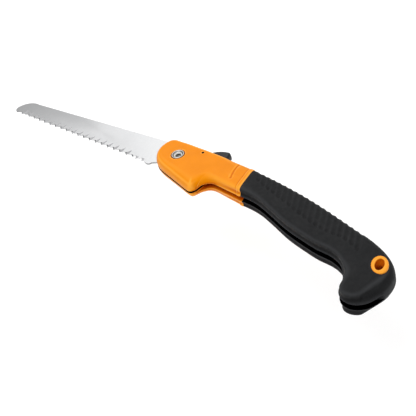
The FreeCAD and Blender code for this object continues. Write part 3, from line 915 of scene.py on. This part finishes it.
class Shader:
    """A node material around one Principled surface, in object coordinates scaled to millimetres."""

    def __init__(self, name):
        self.material = bpy.data.materials.new(name)
        self.material.use_nodes = True
        self.tree = self.material.node_tree
        self.surface = self.tree.nodes["Principled BSDF"]
        self.color = None
        coordinates = self.tree.nodes.new("ShaderNodeTexCoord")
        self.position = self.mapped(coordinates.outputs["Object"], (1000, 1000, 1000))

    def node(self, kind, **settings):
        made = self.tree.nodes.new(kind)
        for key, value in settings.items():
            setattr(made, key, value)
        return made

    def link(self, output, target):
        self.tree.links.new(output, target)

    def mapped(self, source, scale, rotation=(0, 0, 0)):
        mapping = self.node("ShaderNodeMapping")
        mapping.inputs["Scale"].default_value = scale
        mapping.inputs["Rotation"].default_value = rotation
        self.link(source, mapping.inputs["Vector"])
        return mapping.outputs["Vector"]

    def noise(self, scale, detail, stretch=(1, 1, 1), rotation=(0, 0, 0)):
        """Noise with features about 1/scale millimetres across."""
        noise = self.node("ShaderNodeTexNoise")
        noise.inputs["Scale"].default_value = scale
        noise.inputs["Detail"].default_value = detail
        self.link(self.mapped(self.position, stretch, rotation), noise.inputs["Vector"])
        return noise.outputs["Fac"]

    def span(self, value, low, high, from_low=0.0, from_high=1.0):
        """A value spread from one range over another."""
        spread = self.node("ShaderNodeMapRange")
        spread.inputs["From Min"].default_value = from_low
        spread.inputs["From Max"].default_value = from_high
        spread.inputs["To Min"].default_value = low
        spread.inputs["To Max"].default_value = high
        self.link(value, spread.inputs["Value"])
        return spread.outputs["Result"]

    def mottled(self, value, dark, pale, low=0.3, high=0.7):
        """A colour that wanders between two tones."""
        return self.blend(self.span(value, 0, 1, low, high), dark, pale)

    def uneven(self, scale, detail, low, high):
        """A roughness that wanders between two values."""
        return self.span(self.noise(scale, detail), low, high, 0.3, 0.7)

    def blend(self, factor, first, second):
        """Mixes two colours, given as sockets or as tuples."""
        mix = self.node("ShaderNodeMix", data_type="RGBA")
        for value, socket in ((first, mix.inputs[6]), (second, mix.inputs[7])):
            if isinstance(value, tuple):
                socket.default_value = (*value, 1)
            else:
                self.link(value, socket)
        self.link(factor, mix.inputs[0])
        return mix.outputs[2]

    def axis(self, name, vector=None):
        """One coordinate of the place in millimetres, or of a vector; Z counts upwards on both sides."""
        split = self.node("ShaderNodeSeparateXYZ")
        self.link(vector or self.position, split.inputs["Vector"])
        return self.maths("ABSOLUTE", split.outputs["Z"]) if name == "Z" else split.outputs[name]

    def flatness(self):
        """1 where the surface lies flat on the saw's plane, 0 where it stands upright."""
        return self.axis("Z", self.node("ShaderNodeNewGeometry").outputs["True Normal"])

    def maths(self, operation, *values):
        result = self.node("ShaderNodeMath", operation=operation)
        for value, socket in zip(values, result.inputs):
            self.link(value, socket)
        return result.outputs[0]

    def times(self, first, second):
        return self.maths("MULTIPLY", first, second)

    def bend_mask(self, low, high):
        """0 at pointiness low, 1 at high: 0.5 is flat, above it convex and below it hollow."""
        geometry = self.node("ShaderNodeNewGeometry")
        return self.span(geometry.outputs["Pointiness"], 0, 1, low, high)

    def crevices(self, reach_mm):
        """Ambient occlusion, used to paint shade: near 0 down in narrow gaps, 1 on open surfaces."""
        shade = self.node("ShaderNodeAmbientOcclusion", samples=6)
        shade.inputs["Distance"].default_value = reach_mm * MM
        return shade.outputs["AO"]

    def bump(self, height, strength, distance_mm, below=None):
        bump = self.node("ShaderNodeBump")
        bump.inputs["Strength"].default_value = strength
        bump.inputs["Distance"].default_value = distance_mm * MM
        self.link(height, bump.inputs["Height"])
        if below is not None:
            self.link(below, bump.inputs["Normal"])
        return bump.outputs["Normal"]

    def tint(self, mask, tone):
        """Takes the colour over to a tone where the mask is 1."""
        self.color = self.blend(mask, self.color, tone)

    def finish(self, roughness, normal=None, **values):
        self.link(self.color, self.surface.inputs["Base Color"])
        self.link(roughness, self.surface.inputs["Roughness"])
        if normal is not None:
            self.link(normal, self.surface.inputs["Normal"])
        for key, value in values.items():
            self.surface.inputs[key.replace("_", " ")].default_value = value
        return self.material


@cache
def orange_plastic():
    s = Shader("orange moulded nylon")
    s.color = s.mottled(s.noise(0.06, 3), (0.73, 0.212, 0.001), (0.78, 0.238, 0.002))
    # Painted highlight: convex edges and creases are lifted towards a pale orange.
    s.tint(s.span(s.bend_mask(0.501, 0.520), 0, 0.7), (0.98, 0.42, 0.055))
    # Painted shade: hollows, such as the engraved neck line, are taken darker.
    s.tint(s.span(s.bend_mask(0.499, 0.484), 0, 0.7), (0.55, 0.105, 0.001))
    # Painted shade: by ambient occlusion the orange goes to a deep red in gaps and slots, and darker red
    # deeper in.
    shade = s.crevices(6.5)
    s.tint(s.span(shade, 1, 0, 0.52, 0.80), (0.58, 0.11, 0.001))
    s.tint(s.span(shade, 1, 0, 0.25, 0.55), (0.42, 0.050, 0.0005))
    # Painted shade: deep inside the hang hole the orange goes almost black.
    hole_shade = s.times(s.span(s.axis("X"), 0, 1, -30, -20), s.span(shade, 1, 0, 0.10, 0.45))
    s.tint(hole_shade, (0.06, 0.006, 0.0005))
    # Painted shade: towards the head, faces within about 1 mm of the middle plane, inside the narrow gap
    # between the cheeks, go almost black.
    gap_shade = s.times(s.span(s.axis("X"), 1, 0, -170, -166), s.span(s.axis("Z"), 1, 0, 0.88, 1.0))
    s.tint(gap_shade, (0.004, 0.004, 0.006))
    roughness = s.uneven(0.5, 5, 0.30, 0.44)
    grain = s.bump(s.noise(3.5, 3), 0.10, 0.05)
    normal = s.bump(s.noise(0.12, 2), 0.05, 0.6, grain)
    return s.finish(roughness, normal, Specular_IOR_Level=0.16, Specular_Tint=(1.0, 0.5, 0.04, 1))


@cache
def soft_rubber():
    s = Shader("soft touch rubber")
    s.color = s.mottled(s.noise(0.08, 4), (0.0068, 0.0072, 0.0080), (0.0100, 0.0104, 0.0112))
    # Painted highlight: convex edges and the crease are lifted to a paler grey.
    s.tint(s.span(s.bend_mask(0.502, 0.530), 0, 0.35), (0.030, 0.031, 0.033))
    # Painted shade: hollows are taken darker.
    s.tint(s.span(s.bend_mask(0.499, 0.485), 0, 0.6), (0.0025, 0.0025, 0.003))
    # Painted light on the belly side of the grip, by height from the middle plane: painted shade in the
    # valley, a painted highlight along the crease and on the slot's lip.
    height = s.axis("Z")
    below = s.span(s.axis("Y"), 1, 0, 2, 6)
    hollow = s.times(s.span(height, 0, 1, 3.4, 4.6), s.span(height, 1, 0, 6.4, 7.8))
    hollow = s.times(hollow, s.span(s.axis("X"), 1, 0.1, -6, 8))
    ridge = s.times(s.span(height, 0, 1, 7.8, 8.8), s.span(height, 1, 0, 9.0, 9.8))
    s.tint(s.times(hollow, below), (0.0015, 0.0015, 0.002))
    s.tint(s.times(ridge, below), (0.027, 0.028, 0.030))
    s.tint(s.times(s.span(height, 1, 0, 2.6, 3.8), below), (0.024, 0.025, 0.027))
    s.tint(s.span(s.noise(1.4, 6), 0, 0.22, 0.55, 0.8), (0.040, 0.040, 0.040))
    roughness = s.uneven(0.35, 5, 0.52, 0.68)
    leather = s.bump(s.noise(4.5, 4), 0.28, 0.06)
    # Painted shade: by ambient occlusion the rubber goes almost black down in gaps and the slot.
    shade = s.crevices(6.5)
    s.tint(s.span(shade, 1, 0, 0.25, 0.65), (0.0005, 0.0005, 0.0006))
    # Painted shade: the flat inner faces of the slot are painted blacker than the rubber.
    inside = s.times(s.span(height, 1, 0, 2.25, 2.40), s.span(s.flatness(), 0, 1, 0.6, 0.8))
    s.tint(inside, (0.0003, 0.0003, 0.0004))
    # The gloss is cut down in the painted shade as well, so that it stays dark.
    gloss = s.times(s.span(shade, 0, 0.13, 0.25, 0.65), s.span(inside, 1, 0))
    s.link(gloss, s.surface.inputs["Specular IOR Level"])
    return s.finish(roughness, leather)


@cache
def black_plastic():
    s = Shader("black thumb button nylon")
    s.color = s.mottled(s.noise(0.3, 3), (0.0060, 0.0066, 0.0078), (0.0095, 0.0102, 0.0116))
    # Painted highlight: convex edges of the button are lifted to a paler grey.
    s.tint(s.span(s.bend_mask(0.52, 0.60), 0, 0.6), (0.04, 0.041, 0.043))
    roughness = s.uneven(1.0, 5, 0.38, 0.52)
    spark = s.bump(s.noise(7.0, 2), 0.3, 0.05)
    return s.finish(roughness, spark, Specular_IOR_Level=0.25)


@cache
def blade_steel():
    """Satin steel, ground across the blade, with painted shade a little darker out towards the tip."""
    s = Shader("cross ground blade steel")
    lines = s.noise(1.0, 8, (6.0, 0.25, 6.0), (0, 0, math.radians(-12)))
    fine = s.noise(1.0, 4, (22.0, 0.6, 22.0), (0, 0, math.radians(-12)))
    s.color = s.mottled(lines, (0.57, 0.574, 0.582), (0.63, 0.633, 0.638), 0.35, 0.65)
    s.tint(s.span(s.noise(0.035, 4), 0, 0.25, 0.5, 0.75), (0.52, 0.524, 0.535))
    # Painted shade: the steel goes darker out towards the tip.
    s.tint(s.span(s.axis("X"), 0.30, 0, -410, -300), (0.10, 0.10, 0.105))
    # Painted shade: bevels and ground facets that tilt away from the blade's faces go darker.
    s.tint(s.span(s.flatness(), 0.62, 0, 0.90, 0.99), (0.10, 0.10, 0.105))
    roughness = s.span(fine, 0.30, 0.46, 0.3, 0.7)
    grind = s.bump(lines, 0.12, 0.02)
    normal = s.bump(fine, 0.16, 0.012, grind)
    return s.finish(roughness, normal, Metallic=1.0, Anisotropic=0.35)


def plain_finish(name, cloud, tones, rough, grain, **values):
    """A material of one mottled colour with uneven roughness and a fine grain."""
    s = Shader(name)
    s.color = s.mottled(s.noise(*cloud), *tones)
    scale, detail, strength, depth_mm = grain
    return s.finish(s.uneven(*rough), s.bump(s.noise(scale, detail), strength, depth_mm), **values)


@cache
def polished_steel():
    return plain_finish("nickel plated steel", (2.0, 5), ((0.36, 0.35, 0.33), (0.50, 0.485, 0.46)),
                        (4.0, 5, 0.10, 0.22), (6.0, 3, 0.06, 0.02), Metallic=1.0)


@cache
def tumbled_steel():
    return plain_finish("tumbled lever steel", (1.5, 6), ((0.36, 0.36, 0.37), (0.52, 0.52, 0.53)),
                        (5.0, 4, 0.35, 0.55), (9.0, 3, 0.2, 0.02), Metallic=1.0)


# Painted shade: the lock pin is coloured near black with almost no reflection, standing in for the dark of
# the hole it sits in.
@cache
def pin_shade_steel():
    return plain_finish("pin steel darkened for painted shade", (3.0, 5), ((0.002, 0.002, 0.0025), (0.006, 0.006, 0.007)),
                        (8.0, 3, 0.55, 0.8), (12.0, 2, 0.2, 0.02), Specular_IOR_Level=0.05)


@cache
def spring_wire():
    return plain_finish("drawn spring wire", (3.0, 5), ((0.40, 0.395, 0.39), (0.58, 0.57, 0.56)),
                        (8.0, 3, 0.22, 0.4), (12.0, 2, 0.12, 0.01), Metallic=1.0)


@cache
def washer_nylon():
    return plain_finish("natural nylon", (0.6, 4), ((0.62, 0.60, 0.54), (0.74, 0.72, 0.66)),
                        (4.0, 4, 0.42, 0.6), (6.0, 3, 0.12, 0.02), Subsurface_Weight=0.1)


@cache
def black_oxide():
    s = Shader("black oxide steel")
    s.color = s.mottled(s.noise(2.0, 5), (0.020, 0.020, 0.023), (0.045, 0.044, 0.046))
    s.tint(s.bend_mask(0.53, 0.66), (0.22, 0.215, 0.21))
    roughness = s.uneven(6.0, 4, 0.32, 0.5)
    normal = s.bump(s.noise(10.0, 3), 0.15, 0.02)
    return s.finish(roughness, normal, Metallic=0.85)


@cache
def turned_brass():
    s = Shader("turned brass")
    turned = s.noise(1.0, 4, (0.5, 0.5, 14.0))
    s.color = s.mottled(turned, (0.62, 0.42, 0.16), (0.80, 0.60, 0.28))
    roughness = s.uneven(6.0, 4, 0.2, 0.38)
    normal = s.bump(turned, 0.15, 0.02)
    return s.finish(roughness, normal, Metallic=1.0)


def finish_piece(obj, body, material, node):
    obj.data.materials.clear()
    obj.data.materials.append(material)
    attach(obj, body)
    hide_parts(node)


def dress_cad_nodes():
    """Materials and broken edges for the CAD pieces that show as they are."""
    looks = {
        "pivot_nut": polished_steel, "stop_pin": polished_steel, "pivot_bush": turned_brass,
        "near_washer": washer_nylon, "far_washer": washer_nylon, "lock_pin": pin_shade_steel,
        "case_screws": black_oxide, "lock_lever": tumbled_steel, "lock_spring": spring_wire,
    }
    for name, material in looks.items():
        obj = frame["nodes"][name]
        obj.data.materials.clear()
        obj.data.materials.append(material())
        if name in ("pivot_nut", "case_screws", "lock_lever"):
            bevel(obj, "broken_edges", 0.15, 2, 40)


# ------------------------ stage

def floor():
    low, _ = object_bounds()
    size = 4.0
    corners = [(-size, -size), (size, -size), (size, size), (-size, size)]
    mesh = bpy.data.meshes.new("floor")
    mesh.from_pydata([(x, y, low.z - FLOOR_DROP * MM) for x, y in corners], [], [(0, 1, 2, 3)])
    s = Shader("pale floor")
    s.color = s.blend(s.noise(0.004, 2), (0.93, 0.93, 0.93), (0.95, 0.95, 0.95))
    roughness = s.span(s.noise(0.02, 2), 0.85, 0.95)
    mesh.materials.append(s.finish(roughness, Emission_Color=(1, 1, 1, 1), Emission_Strength=0.12))
    in_scene("floor", mesh)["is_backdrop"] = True


def area_light(name, at, target, size, power):
    light = bpy.data.lights.new(name, "AREA")
    light.shape = "DISK"
    light.size = size
    light.energy = power
    obj = in_scene(name, light)
    obj.location = to_frame(at)
    obj.rotation_mode = "QUATERNION"
    obj.rotation_quaternion = Vector(to_frame(target) - to_frame(at)).to_track_quat("-Z", "Y")


def world():
    """White studio all round: brighter overhead than at the horizon."""
    sky = bpy.data.worlds.new("studio")
    bpy.context.scene.world = sky
    sky.use_nodes = True
    tree = sky.node_tree
    background = tree.nodes["Background"]
    coordinates = tree.nodes.new("ShaderNodeTexCoord")
    split = tree.nodes.new("ShaderNodeSeparateXYZ")
    ramp = tree.nodes.new("ShaderNodeValToRGB")
    tree.links.new(coordinates.outputs["Generated"], split.inputs["Vector"])
    tree.links.new(split.outputs["Z"], ramp.inputs["Fac"])
    stops = ((0.0, 0.32), (0.40, 0.42), (0.48, 0.66), (0.57, 0.98), (0.75, 1.05))
    for i, (position, level) in enumerate(stops):
        if i > 1:
            ramp.color_ramp.elements.new(position)
        ramp.color_ramp.elements[i].position = position
        ramp.color_ramp.elements[i].color = (level, level, level, 1)
    seen = tree.nodes.new("ShaderNodeLightPath")
    plain = tree.nodes.new("ShaderNodeMix")
    plain.data_type = "RGBA"
    plain.inputs[7].default_value = (1, 1, 1, 1)
    tree.links.new(seen.outputs["Is Camera Ray"], plain.inputs[0])
    tree.links.new(ramp.outputs["Color"], plain.inputs[6])
    tree.links.new(plain.outputs[2], background.inputs["Color"])


def camera():
    """Looks at the neck of the handle from beyond the hook, above the teeth side, rolled a little."""
    at = Vector(to_frame(CAMERA_AT))
    forward = (Vector(to_frame(CAMERA_TARGET)) - at).normalized()
    level = forward.cross(Vector((0, 0, 1))).normalized()
    lift = level.cross(forward)
    roll = math.radians(CAMERA_ROLL_DEG)
    right = level * math.cos(roll) + lift * math.sin(roll)
    up = lift * math.cos(roll) - level * math.sin(roll)
    data = bpy.data.cameras.new("camera")
    data.lens = CAMERA_LENS
    data.sensor_width = 36
    obj = in_scene("camera", data)
    rotation = Matrix((right, up, -forward)).transposed().to_4x4()
    obj.matrix_world = Matrix.Translation(at) @ rotation
    bpy.context.scene.camera = obj


build_case()
build_handle_parts()
build_lock_button()
build_blade()
dress_cad_nodes()
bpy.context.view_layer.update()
floor()
world()
area_light("key", (60, -250, 700), (60, 0, 0), 0.7, 1.9)
area_light("fill", (-350, 300, 500), (0, 0, 0), 0.6, 0.9)
camera()
bpy.context.scene.view_settings.view_transform = "Standard"
